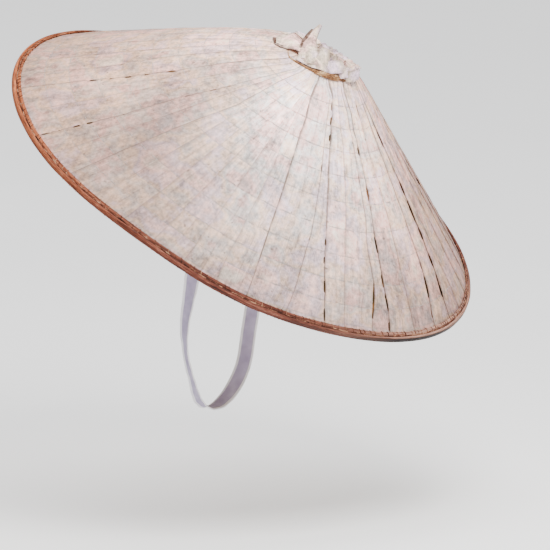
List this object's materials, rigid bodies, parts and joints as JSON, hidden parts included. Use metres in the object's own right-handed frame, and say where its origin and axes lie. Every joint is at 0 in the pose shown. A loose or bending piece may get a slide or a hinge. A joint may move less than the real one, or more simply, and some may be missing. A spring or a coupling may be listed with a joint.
{
  "type": "sedge hat",
  "caption": "Wide conical hat of overlapping sedge leaves with a tied tuft on top, a split bamboo rim, an inner head ring and a cotton chin strap.",
  "frame": {"origin": "centre of the head ring, where a head holds the hat", "axes": "+Z plumb up, +X to the wearer's left, -Y the way the wearer faces; the hat's own axis is tipped 31.4 degrees back from +Z towards +Y"},
  "size_m": [0.52, 0.4462, 0.4077],
  "materials": {
    "sedge": "dry, pale, matt sedge leaf with fine lengthwise veins",
    "sedge_ends": "cut and folded ends of dry sedge leaves, matt",
    "tie": "orange-brown plant fibre binding",
    "bamboo_rim": "split bamboo, orange-brown, satin",
    "bamboo_inner": "plain split bamboo, satin",
    "cotton": "white woven cotton tape"
  },
  "bodies": {
    "root": {"sedge_cover": "sedge", "topknot": "sedge_ends", "topknot_tie": "tie", "rim_hoop": "bamboo_rim", "rim_top_strip": "bamboo_rim", "rim_under_strip": "bamboo_rim", "head_ring": "bamboo_inner", "ring_post_1": "bamboo_inner", "ring_post_2": "bamboo_inner", "ring_post_3": "bamboo_inner", "ring_post_4": "bamboo_inner", "chin_strap": "cotton"}
  },
  "joints": []
}
